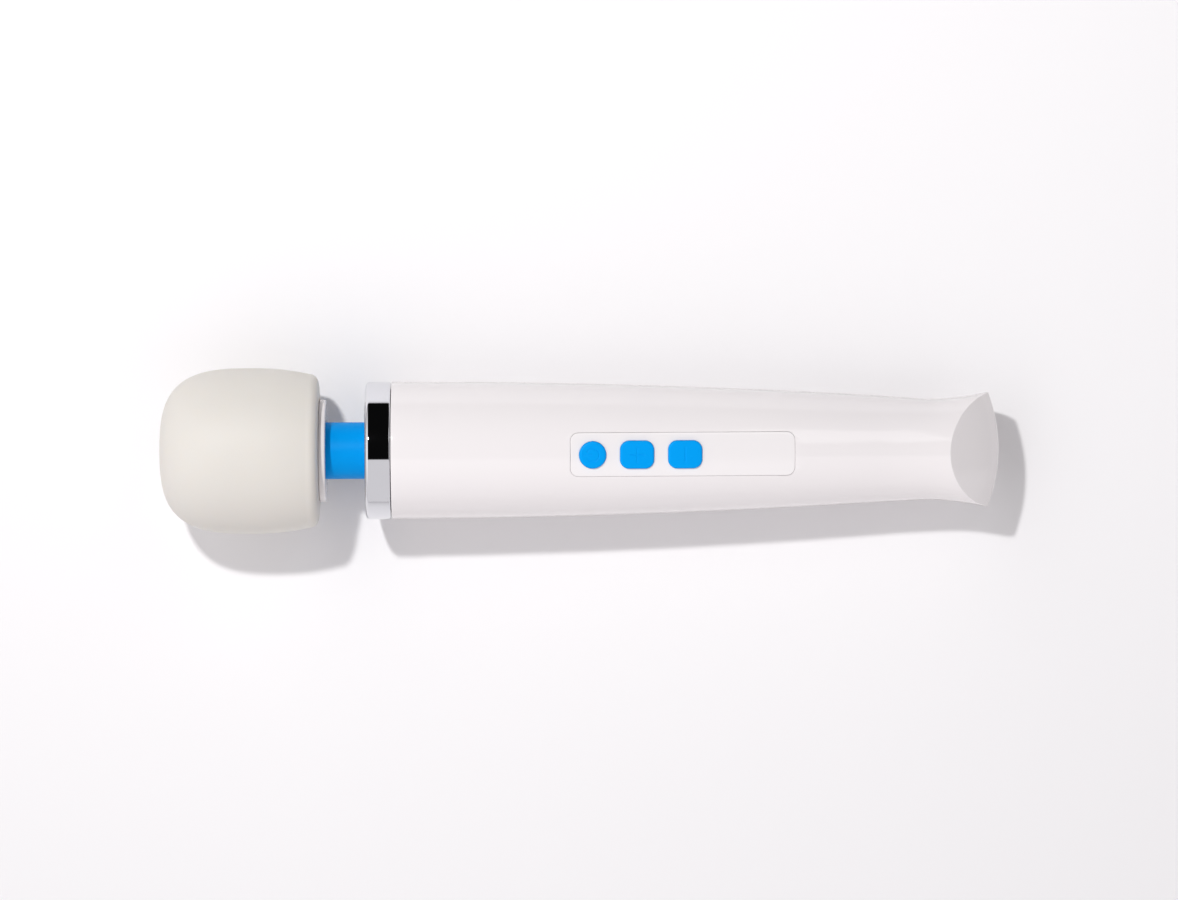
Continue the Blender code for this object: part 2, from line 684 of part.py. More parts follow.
def build_buttons(parts, cutters, mats, deck):
    under = -PANEL_THICKNESS - GAP
    for name, (station, outline, _, flange) in button_shapes().items():
        where = (station, 0, 0)
        cap = plate(f"{name}_button", [outline], under - 0.4 * MM, BUTTON_PROUD, parts, deck, mats["blue"], where)
        low = under - 0.8 * MM
        cut(cap, plate(f"{name}_flange", [flange], low, under, cutters, deck, None, where), "UNION")
        stem = plate(f"{name}_stem", [circle(1.7 * MM)], -5.3 * MM, low + 0.3 * MM, cutters, deck, None, where)
        cut(cap, stem, "UNION")
        plate(f"{name}_plunger", [circle(1.5 * MM, 12)], -8.1 * MM, -5.6 * MM, parts, deck, mats["inner"], where)
        body = [rounded(6 * MM, 6 * MM, 0.4 * MM, 1)]
        switch = plate(f"{name}_switch", body, -9.9 * MM, -6.4 * MM, parts, deck, mats["inner"], where)
        well = plate(f"{name}_well", [circle(1.8 * MM, 12)], -9.2 * MM, -6 * MM, cutters, deck, None, where)
        cut(switch, well)


def build_board(parts, mats, deck):
    holes = [[(x - 155.5 * MM + u, y + v) for u, v in circle(1.2 * MM, 12)] for x, y in BOARD_SCREWS]
    top = -BOARD_DEPTH
    plate("control_board", [rounded(69 * MM, 16 * MM, 1.5 * MM, 3), *holes], top - BOARD_THICKNESS, top,
          parts, deck, mats["board"], (155.5 * MM, 0, 0))
    base = stations[deck.name]
    chip = box_maker((176 * MM - base, 0, top + 1.1 * MM), (7 * MM, 7 * MM, 1.6 * MM))
    solids_from("controller_chip", [chip], parts, deck, mats["rubber"])
    head = top - BOARD_THICKNESS - GAP
    screw = [(0, head - 1.2 * MM), (2.0 * MM, head - 1.2 * MM), (2.0 * MM, head), (0.8 * MM, head),
             (0.8 * MM, head + 6 * MM), (0, head + 6 * MM)]
    for name, (x, y) in zip(("front", "rear"), BOARD_SCREWS):
        maker = pin_maker((x - base, y, 0), screw)
        solids_from(f"board_screw_{name}", [maker], parts, deck, mats["steel"])


# ---- Shells ----


def shell_half(name, side, parts, parent, material):
    """One half of the handle's case, from its open front to its closed tail. Each section is a C from
    seam to seam; side is 1 above and -1 below. The last sections run over the tail's end to its ridge."""
    turns = [side * math.pi * i / 18 for i in range(19)]
    base = stations[parent.name]

    def layer(inset, wall):
        """Rows of points along one skin, outer or inner, from the front to the ridge."""
        ends = [tail_end(turn, inset, wall) for turn in turns]
        rows = [[HANDLE_FRONT + (TAIL_ZONE - HANDLE_FRONT) * i / 5] * len(turns) for i in range(5)]
        rows += [[TAIL_ZONE + share * (end - TAIL_ZONE) for end in ends] for share in (0, 0.25, 0.5, 0.7, 0.86, 1)]
        grid = []
        for row in rows:
            line = []
            for station, turn in zip(row, turns):
                y, z = section_point(station, turn, inset)
                seam = seam_height(station)
                line.append((station - base, y, seam + side * max(side * (z - seam), SEAM)))
            grid.append(line)
        edge, low = grid[-1], SEAM_RISE + side * SEAM
        for share in (0.75, 0.5, 0.25, 0.0):
            line = []
            for x, y, z in edge:
                z = low + share * (z - low)
                line.append((tail_station(y, z) - wall - base, y, z))
            grid.append(line)
        return grid

    sections = [outer + inner[::-1] for outer, inner in zip(layer(0.0, 0.0), layer(WALL, TAIL_WALL))]
    count = 2 * len(turns)
    points = [point for section in sections for point in section]
    faces = []
    for row in range(len(sections) - 1):
        for i in range(count):
            j = (i + 1) % count
            faces.append((row * count + i, row * count + j, (row + 1) * count + j, (row + 1) * count + i))
    last = (len(sections) - 1) * count
    for i in range(len(turns) - 1):
        for end in (0, last):
            faces.append((end + i, end + i + 1, end + count - 2 - i, end + count - 1 - i))
    return mesh_piece(name, points, faces, parts, parent, material)


def build_shells(parts, cutters, mats, wand, deck):
    top = shell_half("top_shell", 1, parts, wand, mats["white"])
    bottom = shell_half("bottom_shell", -1, parts, wand, mats["white"])
    base = stations[wand.name]
    spots = [(x - base, side * y, half_width(x)) for x, y in SHELL_SCREWS for side in (1, -1)]

    for x, y, radius in spots:
        inner = math.sqrt((radius - WALL) ** 2 - (abs(y) + 2.6 * MM) ** 2)
        height = inner + 1.6 * MM
        post = rod_maker((x, y, 1 * MM + height / 2), 2.6 * MM, height, segments=16)
        cut(top, tool("top_post", [post], cutters, wand), "UNION")
        cut(top, tool("top_post_bore", [rod_maker((x, y, 4 * MM), 1.2 * MM, 9 * MM)], cutters, wand))
        depth = math.sqrt((radius - WALL) ** 2 - y**2) + 1.2 * MM
        post = rod_maker((x, y, (0.7 * MM - depth) / 2), 3.6 * MM, depth + 0.7 * MM, segments=20)
        cut(bottom, tool("bottom_post", [post], cutters, wand), "UNION")
        cut(bottom, tool("bottom_post_bore", [rod_maker((x, y, -5 * MM), 1.4 * MM, 14 * MM)], cutters, wand))
        seat = rod_maker((x, y, -16.6 * MM), 2.6 * MM, 14 * MM, segments=16)
        cut(bottom, tool("screw_seat", [seat], cutters, wand))
    screw = [(0, -11.6 * MM), (2.2 * MM, -11.6 * MM), (2.2 * MM, -9.9 * MM), (0.95 * MM, -9.9 * MM),
             (0.95 * MM, 6 * MM), (0, 6 * MM)]
    names = ("front_left", "front_right", "rear_left", "rear_right")
    for name, (x, y, _) in zip(names, spots):
        solids_from(f"shell_screw_{name}", [pin_maker((x, y, 0), screw)], parts, wand, mats["steel"])
    at = CONTACT_STATION - base
    holes = [rod_maker((at, y, -14 * MM), 1.9 * MM, 8 * MM) for y in (3 * MM, -3 * MM)]
    cut(bottom, tool("contact_holes", holes, cutters, wand))

    deck_base = stations[deck.name]
    for x, y in BOARD_SCREWS:
        post = rod_maker((x - deck_base, y, -6.5 * MM), 2.2 * MM, 6.8 * MM, segments=16)
        cut(top, tool("board_post", [post], cutters, deck), "UNION")
        bore = rod_maker((x - deck_base, y, -8 * MM), 1.1 * MM, 6 * MM)
        cut(top, tool("board_post_bore", [bore], cutters, deck))
    length = PANEL_END - PANEL_START
    pocket = rounded(length + 2 * GAP, PANEL_WIDTH + 2 * GAP, PANEL_CORNER + GAP)
    cut(top, plate("panel_pocket", [pocket], -PANEL_THICKNESS - GAP, 4 * MM, cutters, deck, None,
                   ((PANEL_START + PANEL_END) / 2, 0, 0)))
    window = rounded(38.9 * MM, 10.2 * MM, 2 * MM)
    cut(top, plate("button_window", [window], -6 * MM, 0, cutters, deck, None, (141.75 * MM, 0, 0)))


def main():
    clear_scene()
    parts = make_collection("wand_massager")
    cutters = make_collection("cutters")
    mats = make_materials()

    wand = make_empty("wand_axis", None, WAND_LENGTH / 2)
    wand.location = (0.25 * MM, 0.0, AXIS_HEIGHT)
    wand.rotation_euler = (0.0, REST_TILT, 0.0)
    neck = make_empty("neck_pitch_pivot", wand, PITCH_STATION)
    head = make_empty("neck_yaw_pivot", neck, YAW_STATION)
    spin = make_empty("head_spin_axis", head, YAW_STATION)
    rotor = make_empty("motor_axis", wand, MOTOR_FRONT)
    middle = (PANEL_START + PANEL_END) / 2
    slope = math.atan(2 * TAPER_DROP * (middle - TAPER_START) / TAPER_LENGTH**2)
    deck = make_empty("panel_deck", wand, middle, top_height(middle) - PANEL_SINK, slope)

    build_head(parts, cutters, mats, head, spin)
    build_neck(parts, mats, wand, neck, rotor)
    build_nose(parts, mats, wand)
    build_motor(parts, cutters, mats, wand, rotor)
    build_power(parts, mats, wand)
    build_wires(parts, mats, wand)
    build_panel(parts, cutters, mats, deck)
    build_buttons(parts, cutters, mats, deck)
    build_board(parts, mats, deck)
    build_shells(parts, cutters, mats, wand, deck)
    cutters.hide_render = True


main()
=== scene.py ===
import json
import math

import bmesh
import bpy
import numpy as np
from mathutils import Matrix, Vector


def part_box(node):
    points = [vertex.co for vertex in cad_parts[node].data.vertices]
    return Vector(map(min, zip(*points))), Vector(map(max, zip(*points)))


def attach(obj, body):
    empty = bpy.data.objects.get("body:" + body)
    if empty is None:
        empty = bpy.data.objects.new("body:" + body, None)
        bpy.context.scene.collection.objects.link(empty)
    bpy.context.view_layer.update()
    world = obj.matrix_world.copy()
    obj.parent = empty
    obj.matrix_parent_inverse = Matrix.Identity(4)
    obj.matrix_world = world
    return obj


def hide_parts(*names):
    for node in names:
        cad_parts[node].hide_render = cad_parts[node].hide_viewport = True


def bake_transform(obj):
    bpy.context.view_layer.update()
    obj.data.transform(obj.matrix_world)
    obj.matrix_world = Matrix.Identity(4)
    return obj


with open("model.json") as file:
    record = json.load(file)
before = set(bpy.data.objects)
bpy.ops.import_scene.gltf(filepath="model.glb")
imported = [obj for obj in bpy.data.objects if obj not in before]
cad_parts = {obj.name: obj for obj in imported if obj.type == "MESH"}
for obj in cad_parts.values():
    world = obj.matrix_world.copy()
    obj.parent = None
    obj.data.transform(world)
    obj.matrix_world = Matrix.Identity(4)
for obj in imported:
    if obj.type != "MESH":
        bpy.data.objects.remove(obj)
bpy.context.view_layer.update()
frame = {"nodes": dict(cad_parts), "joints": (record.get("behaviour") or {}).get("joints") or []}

mm = 0.001
turn = 2 * math.pi
weldGap = 1e-7  # metres; points nearer than this become one
sameGap = 1e-6  # metres; places nearer than this count as the same
pieceSharp = 32  # degrees; a sharper turn between faces shows as an edge
shellSharp = 28  # the same for the handle's shells
print("frame loaded:", len(frame["nodes"]), "nodes")


# The wand's own axes, read from its joints: along it, to its left and up out of its panel.
joints = {joint["name"]: joint for joint in frame["joints"]}
along = np.array(joints["motor_spin"]["axis"], float)
upward = np.array(joints["neck_yaw"]["axis"], float)
leftward = np.cross(upward, along)
axisPoint = np.array(joints["motor_spin"]["pos_m"], float)
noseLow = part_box("head_cap")[0].x
nose = axisPoint + along * (noseLow - axisPoint[0]) / along[0]


def onWand(stations, across, height):
    # station from the head's nose, distance to the left and height over the axis, as a place in the frame
    stations, across, height = np.broadcast_arrays(stations, across, height)
    return nose + stations[..., None] * along + across[..., None] * leftward + height[..., None] * upward


def meshPiece(name, points, faces, material, body=None, outward=True):
    mesh = bpy.data.meshes.new(name)
    mesh.from_pydata(points.reshape(-1, 3).tolist(), [], faces)
    edit = bmesh.new()
    edit.from_mesh(mesh)
    bmesh.ops.remove_doubles(edit, verts=edit.verts, dist=weldGap)
    if outward:
        bmesh.ops.recalc_face_normals(edit, faces=edit.faces)
    edit.to_mesh(mesh)
    edit.free()
    mesh.shade_smooth()
    mesh.set_sharp_from_angle(angle=math.radians(pieceSharp))
    piece = bpy.data.objects.new(name, mesh)
    bpy.context.scene.collection.objects.link(piece)
    if material:
        mesh.materials.append(material)
    if body:
        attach(piece, body)
    return piece


def gridFaces(rows, columns, closeRows, closeColumns):
    # quads between neighbours of a grid; a closed way joins its last line to its first
    down = np.arange(rows if closeRows else rows - 1)
    side = np.arange(columns if closeColumns else columns - 1)
    a, b = np.meshgrid(down, side, indexing="ij")
    c, d = (a + 1) % rows, (b + 1) % columns
    corners = [a * columns + b, a * columns + d, c * columns + d, c * columns + b]
    return np.stack(corners, axis=-1).reshape(-1, 4).tolist()


def roundedPath(corners, radii, steps=6, closed=True):
    # a polygon with an arc at each corner, tangent to both of its sides
    corners = np.array(corners, float)
    count = len(corners)
    path = []
    for i, radius in enumerate(radii):
        here = corners[i]
        if radius <= 0 or (not closed and i in (0, count - 1)):
            path.append(here[None])
            continue
        before = corners[i - 1] - here
        after = corners[(i + 1) % count] - here
        before, after = before / np.linalg.norm(before), after / np.linalg.norm(after)
        half = math.acos(np.clip(before @ after, -1, 1)) / 2
        middle = (before + after) / np.linalg.norm(before + after)
        centre = here + middle * radius / math.sin(half)
        start = here + before * radius / math.tan(half) - centre
        end = here + after * radius / math.tan(half) - centre
        sweep = math.atan2(start[0] * end[1] - start[1] * end[0], start @ end)
        angles = np.linspace(0, sweep, steps + 1)
        arc = start[None] * np.cos(angles)[:, None]
        arc = arc + np.array([-start[1], start[0]])[None] * np.sin(angles)[:, None]
        path.append(centre + arc)
    return np.concatenate(path)


def turnedPiece(name, profile, material, body=None, steps=128, closed=True):
    # a profile of (radius, station) carried round the wand's axis
    profile = np.array(profile, float)
    angles = np.linspace(0, turn, steps, endpoint=False)
    across = profile[None, :, 0] * np.cos(angles)[:, None]
    height = profile[None, :, 0] * np.sin(angles)[:, None]
    points = onWand(profile[None, :, 1] + 0 * across, across, height)
    return meshPiece(name, points, gridFaces(steps, len(profile), True, closed), material, body)


def applied(piece):
    # the piece with its modifiers made part of its mesh
    bpy.context.view_layer.update()
    evaluated = piece.evaluated_get(bpy.context.evaluated_depsgraph_get())
    mesh = bpy.data.meshes.new_from_object(evaluated)
    piece.modifiers.clear()
    piece.data = mesh
    return piece


def cutBy(piece, cutters, sharp=pieceSharp):
    # every cutter is taken out of the piece, then removed itself
    for cutter in cutters:
        boolean = piece.modifiers.new(cutter.name, "BOOLEAN")
        boolean.operation = "DIFFERENCE"
        boolean.object = cutter
    applied(piece)
    piece.data.set_sharp_from_angle(angle=math.radians(sharp))
    for cutter in cutters:
        bpy.data.objects.remove(cutter, do_unlink=True)


def linear(hexColour):
    # sRGB hex to linear colour
    values = np.array([int(hexColour[i : i + 2], 16) for i in (1, 3, 5)]) / 255
    values = np.where(values <= 0.04045, values / 12.92, ((values + 0.055) / 1.055) ** 2.4)
    return (*values.tolist(), 1.0)


def addNode(tree, kind, settings=None, inputs=None, links=None):
    # one node with its settings, its input values and what feeds its inputs
    node = tree.nodes.new(kind)
    for key, value in (settings or {}).items():
        setattr(node, key, value)
    for key, value in (inputs or {}).items():
        node.inputs[key].default_value = value
    for key, source in (links or {}).items():
        tree.links.new(source, node.inputs[key])
    return node


def surfaceMaterial(name, look):
    # one base for every finish: two colours mixed by soft noise, roughness that wanders, and a fine bump
    material = bpy.data.materials.new(name)
    material.use_nodes = True
    tree = material.node_tree
    shader = tree.nodes["Principled BSDF"]
    coords = addNode(tree, "ShaderNodeTexCoord").outputs["Object"]
    if "stretch" in look:
        mapping = addNode(tree, "ShaderNodeMapping", inputs={"Scale": look["stretch"]}, links={"Vector": coords})
        coords = mapping.outputs["Vector"]
    blotch = addNode(tree, "ShaderNodeTexNoise", inputs={"Scale": 1 / look["blotch"], "Detail": 3.0},
                     links={"Vector": coords})
    colours = addNode(tree, "ShaderNodeMix", {"data_type": "RGBA"}, {6: linear(look["colour"]),
                      7: linear(look["shade"])}, {0: blotch.outputs["Fac"]})
    tree.links.new(colours.outputs[2], shader.inputs["Base Color"])
    grain = addNode(tree, "ShaderNodeTexNoise", inputs={"Scale": 1 / look["grain"], "Detail": 2.0},
                    links={"Vector": coords})
    rough = addNode(tree, "ShaderNodeMapRange", inputs={"To Min": look["rough"][0], "To Max": look["rough"][1]},
                    links={"Value": grain.outputs["Fac"]})
    tree.links.new(rough.outputs["Result"], shader.inputs["Roughness"])
    bump = addNode(tree, "ShaderNodeBump", inputs={"Strength": look["bump"], "Distance": look["depth"]},
                   links={"Height": grain.outputs["Fac"]})
    tree.links.new(bump.outputs["Normal"], shader.inputs["Normal"])
    for key, value in look.get("shader", {}).items():
        shader.inputs[key].default_value = value
    return material


def makeFinishes():
    finishes = {}
    # Platinum-cured silicone, moulded with a fine matte spark-eroded skin: soft, no mirror image, a faint glow
    finishes["creamSilicone"] = surfaceMaterial("creamSiliconeMoulded", {
        "colour": "#DAD7D1", "shade": "#D7D3CC", "blotch": 30 * mm, "grain": 0.35 * mm,
        "rough": (0.50, 0.60), "bump": 0.10, "depth": 0.02 * mm,
        "shader": {"IOR": 1.41, "Subsurface Weight": 0.25, "Subsurface Scale": 3 * mm,
                   "Subsurface Radius": (1.0, 0.8, 0.6)}})
    # Polished injection-moulded ABS: clear reflections over a very slight moulding ripple
    finishes["glossWhite"] = surfaceMaterial("whiteAbsPolished", {
        "colour": "#EBE7E7", "shade": "#E9E5E6", "blotch": 40 * mm, "grain": 9 * mm,
        "rough": (0.07, 0.11), "bump": 0.05, "depth": 0.05 * mm,
        "shader": {"IOR": 1.53}})
    # The same ABS off a finer polished insert for the panel, a touch softer
    finishes["panelWhite"] = surfaceMaterial("panelAbsPolished", {
        "colour": "#ECE9E9", "shade": "#EAE6E7", "blotch": 25 * mm, "grain": 5 * mm,
        "rough": (0.12, 0.17), "bump": 0.05, "depth": 0.04 * mm,
        "shader": {"IOR": 1.53}})
    # Pigmented silicone of the neck and buttons: saturated, satin
    finishes["blueSilicone"] = surfaceMaterial("blueSiliconeMoulded", {
        "colour": "#009CED", "shade": "#0098E9", "blotch": 12 * mm, "grain": 0.3 * mm,
        "rough": (0.36, 0.46), "bump": 0.10, "depth": 0.015 * mm,
        "shader": {"IOR": 1.41, "Specular IOR Level": 0.06}})
    # Decorative chrome on moulded plastic: a mirror, with hair-thin roughness changes
    finishes["chrome"] = surfaceMaterial("chromePlated", {
        "colour": "#DEDFE3", "shade": "#DBDCE0", "blotch": 8 * mm, "grain": 2 * mm,
        "rough": (0.015, 0.04), "bump": 0.02, "depth": 0.01 * mm,
        "shader": {"Metallic": 1.0}})
    # Glass-filled nylon of hidden frames: grey, matte, with pale fibre clouds
    finishes["greyNylon"] = surfaceMaterial("greyNylonMoulded", {
        "colour": "#5F6366", "shade": "#6B6F72", "blotch": 2 * mm, "grain": 0.2 * mm,
        "rough": (0.45, 0.62), "bump": 0.3, "depth": 0.03 * mm})
    # Zinc-plated steel, turned or rolled: fine lines round the axis
    finishes["platedSteel"] = surfaceMaterial("steelZincPlated", {
        "colour": "#B9BBC0", "shade": "#A9ACB2", "blotch": 3 * mm, "grain": 0.25 * mm,
        "stretch": (8.0, 1.0, 1.0), "rough": (0.22, 0.36), "bump": 0.15, "depth": 0.01 * mm,
        "shader": {"Metallic": 1.0}})
    # Turned brass: warm metal with soft tarnish
    finishes["turnedBrass"] = surfaceMaterial("brassTurned", {
        "colour": "#D9B36A", "shade": "#C59A50", "blotch": 4 * mm, "grain": 0.2 * mm,
        "stretch": (8.0, 1.0, 1.0), "rough": (0.2, 0.34), "bump": 0.12, "depth": 0.01 * mm,
        "shader": {"Metallic": 1.0}})
    # Hard gold flash over nickel on the charging pads
    finishes["goldFlash"] = surfaceMaterial("goldPlatedPads", {
        "colour": "#E8C478", "shade": "#DDB662", "blotch": 1 * mm, "grain": 0.3 * mm,
        "rough": (0.14, 0.22), "bump": 0.08, "depth": 0.005 * mm,
        "shader": {"Metallic": 1.0}})
    # Sintered ferrite: dark, dull and granular
    finishes["ferrite"] = surfaceMaterial("ferriteSintered", {
        "colour": "#3A3A3D", "shade": "#2E2E31", "blotch": 1.5 * mm, "grain": 0.3 * mm,
        "rough": (0.55, 0.75), "bump": 0.4, "depth": 0.03 * mm})
    # Moulded black rubber: deep, matte, slightly dusty
    finishes["blackRubber"] = surfaceMaterial("blackRubberMoulded", {
        "colour": "#1B1B1C", "shade": "#242425", "blotch": 3 * mm, "grain": 0.25 * mm,
        "rough": (0.55, 0.72), "bump": 0.25, "depth": 0.02 * mm})
    # White rubber of the screw plugs: near the shell's colour but matte
    finishes["whiteRubber"] = surfaceMaterial("whiteRubberMoulded", {
        "colour": "#DEDBDA", "shade": "#D8D5D4", "blotch": 3 * mm, "grain": 0.25 * mm,
        "rough": (0.5, 0.62), "bump": 0.15, "depth": 0.02 * mm})
    # Solder mask over glass cloth: glossy green with a faint weave of 0.5 mm
    finishes["circuitBoard"] = surfaceMaterial("circuitBoardMasked", {
        "colour": "#12512F", "shade": "#0E4527", "blotch": 0.5 * mm, "grain": 0.5 * mm,
        "rough": (0.22, 0.36), "bump": 0.12, "depth": 0.01 * mm})
    # Heat-shrunk PVC sleeve of the cell: glossy with slight ripples
    finishes["cellWrap"] = surfaceMaterial("cellSleeveShrunk", {
        "colour": "#1F7A57", "shade": "#1B6F4F", "blotch": 6 * mm, "grain": 3 * mm,
        "rough": (0.2, 0.32), "bump": 0.2, "depth": 0.05 * mm})
    # Extruded PVC insulation, red and black
    finishes["redWire"] = surfaceMaterial("redPvcExtruded", {
        "colour": "#B3161B", "shade": "#A11217", "blotch": 2 * mm, "grain": 0.4 * mm,
        "rough": (0.35, 0.5), "bump": 0.1, "depth": 0.01 * mm})
    finishes["blackWire"] = surfaceMaterial("blackPvcExtruded", {
        "colour": "#19191A", "shade": "#202022", "blotch": 2 * mm, "grain": 0.4 * mm,
        "rough": (0.35, 0.5), "bump": 0.1, "depth": 0.01 * mm})
    return finishes


finishes = makeFinishes()
print("finishes made:", len(finishes))


headForm = {"radius": 24.5 * mm, "widest": 28.0 * mm, "power": 3.15, "rear": 46.75 * mm, "rearDrop": 1.2 * mm,
            "rearReach": 13.2 * mm, "corner": 2.9 * mm, "bulge": 0.25 * mm, "wall": 2.2 * mm, "mouth": 15.0 * mm,
            "mouthEdge": 0.4 * mm, "lip": 0.2 * mm, "core": ((0.75, 8.0 * mm), (0.45, 3.6 * mm)),
            "coreStep": 2 * mm, "frontSteps": 64, "backSteps": 26, "cornerSteps": 14, "faceSteps": 10,
            "around": 160}
discForm = {"bore": 8.7 * mm, "front": 43.6 * mm, "neck": 14.6 * mm, "step": 47.05 * mm, "radius": 15.1 * mm,
            "rear": 49.0 * mm, "round": 0.3 * mm, "rearRound": 0.55 * mm}


def makeHead():
    form = headForm
    # front: a superellipse in its own angle; back: a parabola; then a corner arc and a faintly bulged rear face
    angle = np.linspace(0, turn / 4, form["frontSteps"])
    share = 2 / form["power"]
    front = np.stack([form["radius"] * np.sin(angle) ** share,
                      form["widest"] * (1 - np.clip(np.cos(angle), 0, 1) ** share)], axis=-1)
    shoulder = form["rear"] - form["corner"]
    stations = np.linspace(form["widest"], shoulder, form["backSteps"])[1:]
    drop = form["rearDrop"] * ((stations - form["widest"]) / form["rearReach"]) ** 2
    back = np.stack([form["radius"] - drop, stations], axis=-1)
    arc = np.linspace(0, turn / 4, form["cornerSteps"])[1:]
    hub = back[-1, 0] - form["corner"]
    corner = np.stack([hub + form["corner"] * np.cos(arc), shoulder + form["corner"] * np.sin(arc)], axis=-1)
    share = np.linspace(0, 1, form["faceSteps"])[1:]
    radii = hub + (form["mouth"] + form["mouthEdge"] - hub) * share
    face = np.stack([radii, form["rear"] + form["bulge"] * np.sin(share * turn / 4)], axis=-1)
    wall = form["wall"]
    lip = np.array([[form["mouth"], form["rear"] - form["lip"]], [form["mouth"], form["rear"] - wall]])
    inside = np.array([[hub, form["rear"] - wall], [form["radius"] - wall - form["coreStep"], shoulder],
                       [form["radius"] - wall, form["widest"]],
                       *[[form["radius"] * part, station] for part, station in form["core"]], [0, wall]])
    profile = np.concatenate([front, back, corner, face, lip, inside])
    head = turnedPiece("headCap", profile, finishes["creamSilicone"], "head", form["around"], closed=False)
    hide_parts("head_cap")

    form = discForm
    disc = roundedPath([(form["bore"], form["front"]), (form["neck"], form["front"]),
                        (form["neck"], form["step"]), (form["radius"], form["step"]),
                        (form["radius"], form["rear"]), (form["bore"], form["rear"])],
                       [0, 0, 0, form["round"], form["rearRound"], form["round"]])
    base = turnedPiece("baseDisc", disc, finishes["glossWhite"], "head")
    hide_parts("head_base_plate")


neckForm = {"radius": 8.4 * mm, "bore": 6.4 * mm, "front": 48.9 * mm, "middle": 54.75 * mm, "rear": 63.4 * mm,
            "bendFront": 49.2 * mm, "bendRear": 60.3 * mm, "rows": 36, "around": 96}


def makeNeck():
    form = neckForm
    middle = form["middle"]
    halves = (("neckFront", form["front"], middle, "neck_mid", "head", middle, form["bendFront"]),
              ("neckRear", middle, form["rear"], "handle", "neck_mid", form["bendRear"], middle))
    for name, low, high, bodyA, bodyB, start, end in halves:
        # a tube, closed at both ends by its wall
        stations = np.linspace(low, high, form["rows"])
        outer = np.stack([0 * stations + form["radius"], stations], axis=-1)
        inner = np.stack([0 * stations + form["bore"], stations], axis=-1)[::-1]
        tube = turnedPiece(name, np.concatenate([outer, inner]), finishes["blueSilicone"], None, form["around"])
        tuple(onWand(start, 0.0, 0.0))
        tuple(onWand(end, 0.0, 0.0))
        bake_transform(tube)
        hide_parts("neck_sleeve")


springForm = {"start": 49.7 * mm, "end": 60.6 * mm, "turns": 4, "coil": 4.1 * mm, "wire": 0.55 * mm,
              "steps": 96, "around": 14}


def makeSpring():
    # a round wire carried along a helix, in two lengths split at the neck's middle
    form, neck = springForm, neckForm
    middle = (neck["middle"] - form["start"]) / (form["end"] - form["start"])
    halves = (("springFront", 0.0, middle, "neck_mid", "head", neck["middle"], neck["bendFront"]),
              ("springRear", middle, 1.0, "handle", "neck_mid", neck["bendRear"], neck["middle"]))
    for name, low, high, bodyA, bodyB, start, end in halves:
        share = np.linspace(low, high, form["steps"])[:, None]
        angle = share * form["turns"] * turn
        rim = np.linspace(0, turn, form["around"], endpoint=False)[None]
        # the wire's circle lies in the plane of the coil's radius and the wand's axis
        outward = form["coil"] + form["wire"] * np.cos(rim) + 0 * share
        stations = form["start"] + share * (form["end"] - form["start"]) + form["wire"] * np.sin(rim)
        points = onWand(stations, outward * np.sin(angle), outward * np.cos(angle))
        # each end closes onto its ring's middle
        first, last = (np.repeat(points[[row]].mean(axis=1, keepdims=True), points.shape[1], axis=1)
                       for row in (0, -1))
        points = np.concatenate([first, points, last])
        wire = meshPiece(name, points, gridFaces(len(points), points.shape[1], False, True),
                         finishes["platedSteel"])
        tuple(onWand(start, 0.0, 0.0))
        tuple(onWand(end, 0.0, 0.0))
        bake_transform(wire)
        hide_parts("drive_spring")


collarForm = {"outer": 20.4 * mm, "inner": 18.3 * mm, "front": 60.7 * mm, "rear": 68.15 * mm,
              "frontRound": 1.25 * mm, "rearRound": 0.35 * mm, "arcSteps": 10, "around": 192}
plateForm = {"bore": 8.7 * mm, "rear": 63.6 * mm, "collar": (10.5 * mm, 62.4 * mm), "boreFront": 62.6 * mm,
             "radius": 17.95 * mm, "front": 62.0 * mm, "round": 0.3 * mm, "dish": 1.0 * mm}


def makeCollar():
    form = collarForm
    ring = roundedPath([(form["inner"], form["rear"]), (form["inner"], form["front"]),
                        (form["outer"], form["front"]), (form["outer"], form["rear"])],
                       [0, form["rearRound"], form["frontRound"], form["rearRound"]],
                       form["arcSteps"])
    collar = turnedPiece("collarRing", ring, finishes["chrome"], "handle", form["around"])
    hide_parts("collar_ring")
    form = plateForm
    plate = roundedPath([(form["bore"], form["rear"]), (form["bore"], form["boreFront"]), form["collar"],
                         (form["radius"], form["front"]), (form["radius"], form["rear"])],
                        [0, form["round"], form["dish"], form["round"], 0])
    nosePlate = turnedPiece("nosePlate", plate, finishes["glossWhite"], "handle")
    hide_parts("nose_plate")


handleForm = {"front": 68.35 * mm, "radius": 20.4 * mm, "taperStart": 67.4 * mm, "taperLength": 160.6 * mm,
              "taperDrop": 5.5 * mm, "flareStart": 226.0 * mm, "flareLength": 19.1 * mm, "flareWidth": 3.48 * mm,
              "widthPower": 1.6, "flareDepth": 4.5 * mm, "depthPower": 2.2, "flareReach": 17.6 * mm,
              "topStart": 212.0 * mm, "topRise": 1.2 * mm, "riseStart": 205.0 * mm, "riseLength": 40.0 * mm,
              "seamRise": 4.0 * mm, "tailTip": 244.65 * mm, "tailHalf": 17.1 * mm, "ridgeBulge": 3.2 * mm,
              "upperLean": 0.89, "upperCurve": 1.15, "lowerLean": 0.22, "tailZone": 200.0 * mm,
              "wall": 3.0 * mm, "tailWall": 2.4 * mm,
              "seam": 0.03 * mm, "lip": 0.18 * mm, "lipPower": 4, "edge": 0.3 * mm, "edgeSegments": 3}
shellGrid = {"columns": 96, "edgeRows": 6, "bodyRows": 70, "tailRows": 60, "faceRows": 30, "halvings": 80}


